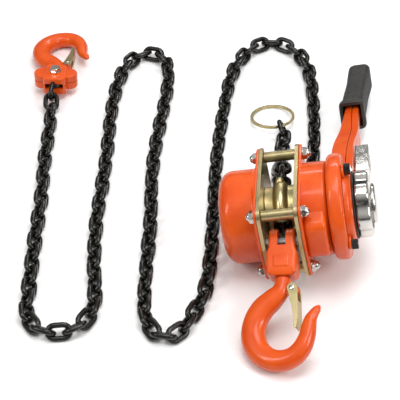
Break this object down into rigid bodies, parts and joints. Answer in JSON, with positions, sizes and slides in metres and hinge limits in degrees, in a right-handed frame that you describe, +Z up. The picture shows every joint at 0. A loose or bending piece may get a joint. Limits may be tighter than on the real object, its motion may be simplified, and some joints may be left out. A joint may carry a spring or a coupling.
{
  "type": "lever chain hoist",
  "caption": "Ratchet lever chain hoist with a load chain laid out in loops, swivel hooks with latches and a handwheel.",
  "frame": {"origin": "on the floor under the middle of the hoist's outline without its free chain, as it lies", "axes": "+Z up from the floor, +X towards the lever's side along the drive shaft's direction seen from above, -Y towards the top hook"},
  "size_m": [0.4531, 0.5877, 0.1376],
  "materials": {
    "orange_paint": "glossy orange paint",
    "yellow_zinc": "yellow zinc plating",
    "black_oxide": "black oxide, oiled",
    "chrome_plate": "bright plated",
    "machined_steel": "turned and ground steel",
    "brake_lining": "pressed friction lining",
    "grip_rubber": "moulded rubber with fine ribs"
  },
  "bodies": {
    "frame": {"brake_cover": "orange_paint", "chain_guide": "yellow_zinc", "chain_on_sheave": "black_oxide", "gear_cover": "orange_paint", "load_chain": "black_oxide", "nut_front_lower_brake": "chrome_plate", "nut_front_lower_gear": "chrome_plate", "nut_front_upper_brake": "chrome_plate", "nut_front_upper_gear": "chrome_plate", "nut_rear_lower_brake": "chrome_plate", "nut_rear_lower_gear": "chrome_plate", "nut_rear_upper_brake": "chrome_plate", "nut_rear_upper_gear": "chrome_plate", "pawl_pin_lower": "machined_steel", "pawl_pin_upper": "machined_steel", "side_plate_brake": "yellow_zinc", "side_plate_gear": "yellow_zinc", "stay_front_lower": "yellow_zinc", "stay_front_upper": "yellow_zinc", "stay_rear_lower": "yellow_zinc", "stay_rear_upper": "yellow_zinc", "tail_chain": "black_oxide", "tail_end_link": "black_oxide", "top_hook_pin": "machined_steel"},
    "sheave": {"load_gear": "machined_steel", "load_sheave": "yellow_zinc"},
    "drive_shaft": {"brake_hub": "machined_steel", "end_cap": "chrome_plate", "pinion_shaft": "machined_steel"},
    "disc_gear_upper": {"disc_gear_upper": "machined_steel"},
    "disc_gear_lower": {"disc_gear_lower": "machined_steel"},
    "ratchet": {"friction_plate_inner": "brake_lining", "friction_plate_outer": "brake_lining", "ratchet_disc": "machined_steel"},
    "pawl_upper": {"pawl_upper": "machined_steel"},
    "pawl_lower": {"pawl_lower": "machined_steel"},
    "handwheel": {"drive_hub": "machined_steel", "dust_disc": "grip_rubber", "handwheel": "chrome_plate"},
    "lever": {"lever_bolt_1": "black_oxide", "lever_bolt_2": "black_oxide", "lever_bolt_3": "black_oxide", "lever_grip": "grip_rubber", "lever_inner_half": "orange_paint", "lever_outer_half": "orange_paint"},
    "selector": {"change_pawl": "machined_steel", "selector_knob": "chrome_plate"},
    "top_yoke": {"top_yoke": "orange_paint"},
    "top_hook": {"top_hook": "orange_paint", "top_hook_collar": "machined_steel", "top_latch_rivet": "chrome_plate"},
    "top_latch": {"top_latch": "yellow_zinc"},
    "bottom_yoke": {"anchor_link": "black_oxide", "bottom_yoke_lower": "orange_paint", "bottom_yoke_upper": "orange_paint", "yoke_bolt": "chrome_plate"},
    "bottom_hook": {"bottom_hook": "orange_paint", "bottom_latch_rivet": "chrome_plate"},
    "bottom_latch": {"bottom_latch": "yellow_zinc"},
    "end_ring": {"end_ring": "yellow_zinc"}
  },
  "joints": [
    {"name": "sheave_spin", "type": "hinge", "parent": "frame", "child": "sheave", "pos_m": [0.1179, -0.1017, 0.0639], "axis": [0.9781, 0, 0.2079], "continuous": true},
    {"name": "drive_shaft_spin", "type": "hinge", "parent": "frame", "child": "drive_shaft", "pos_m": [0.1179, -0.1017, 0.0639], "axis": [0.9781, 0, 0.2079], "continuous": true},
    {"name": "disc_gear_upper_spin", "type": "hinge", "parent": "frame", "child": "disc_gear_upper", "pos_m": [0.11244, -0.09894, 0.08958], "axis": [0.9781, 0, 0.2079], "continuous": true},
    {"name": "disc_gear_lower_spin", "type": "hinge", "parent": "frame", "child": "disc_gear_lower", "pos_m": [0.12336, -0.10446, 0.03822], "axis": [0.9781, 0, 0.2079], "continuous": true},
    {"name": "ratchet_spin", "type": "hinge", "parent": "frame", "child": "ratchet", "pos_m": [0.1179, -0.1017, 0.0639], "axis": [0.9781, 0, 0.2079], "continuous": true},
    {"name": "pawl_upper_lift", "type": "hinge", "parent": "frame", "child": "pawl_upper", "pos_m": [0.10886, -0.10322, 0.10642], "axis": [0.9781, 0, 0.2079], "range_deg": [0, 14], "stiffness_Nm_per_rad": 0.02, "springref_deg": -17.19},
    {"name": "pawl_lower_lift", "type": "hinge", "parent": "frame", "child": "pawl_lower", "pos_m": [0.12694, -0.10018, 0.02138], "axis": [0.9781, 0, 0.2079], "range_deg": [0, 14], "stiffness_Nm_per_rad": 0.02, "springref_deg": -17.19},
    {"name": "handwheel_turn", "type": "hinge", "parent": "drive_shaft", "child": "handwheel", "pos_m": [0.1179, -0.1017, 0.0639], "axis": [0.9781, 0, 0.2079], "range_deg": [-36, 0]},
    {"name": "lever_swing", "type": "hinge", "parent": "frame", "child": "lever", "pos_m": [0.1179, -0.1017, 0.0639], "axis": [0.9781, 0, 0.2079], "continuous": true},
    {"name": "selector_turn", "type": "hinge", "parent": "lever", "child": "selector", "pos_m": [0.12023, -0.04072, 0.05295], "axis": [0.9781, 0, 0.2079], "range_deg": [-20, 20]},
    {"name": "top_yoke_pivot", "type": "hinge", "parent": "frame", "child": "top_yoke", "pos_m": [0.11677, -0.15341, 0.06922], "axis": [0.981, -0.0483, 0.188], "range_deg": [-73, 16]},
    {"name": "top_hook_swivel", "type": "hinge", "parent": "top_yoke", "child": "top_hook", "pos_m": [0.11966, -0.24653, 0.0302], "axis": [-0.0286, 0.9219, 0.3863], "continuous": true},
    {"name": "top_latch_open", "type": "hinge", "parent": "top_hook", "child": "top_latch", "pos_m": [0.12987, -0.20691, 0.05186], "axis": [-0.3756, -0.368, 0.8506], "range_deg": [-36, 0], "stiffness_Nm_per_rad": 0.02, "springref_deg": 28.65},
    {"name": "bottom_yoke_swing", "type": "hinge", "parent": "frame", "child": "bottom_yoke", "pos_m": [-0.18383, 0.16364, 0.0207], "axis": [0, 0, 1], "range_deg": [-20, 20]},
    {"name": "bottom_hook_swivel", "type": "hinge", "parent": "bottom_yoke", "child": "bottom_hook", "pos_m": [-0.1856, 0.2482, 0.0133], "axis": [0.0209, -0.996, 0.0872], "continuous": true},
    {"name": "bottom_latch_open", "type": "hinge", "parent": "bottom_hook", "child": "bottom_latch", "pos_m": [-0.17363, 0.20852, 0.01757], "axis": [0.0716, -0.0855, -0.9938], "range_deg": [-36, 0], "stiffness_Nm_per_rad": 0.02, "springref_deg": 28.65},
    {"name": "end_ring_swing", "type": "hinge", "parent": "frame", "child": "end_ring", "pos_m": [0.1115, 0.1125, 0.0109], "axis": [0.891, 0.454, 0], "range_deg": [0, 110]}
  ],
  "couplings": [
    {"joint": "drive_shaft_spin", "follows": "sheave_spin", "ratio": 9},
    {"joint": "disc_gear_upper_spin", "follows": "sheave_spin", "ratio": -3},
    {"joint": "disc_gear_lower_spin", "follows": "sheave_spin", "ratio": -3}
  ]
}
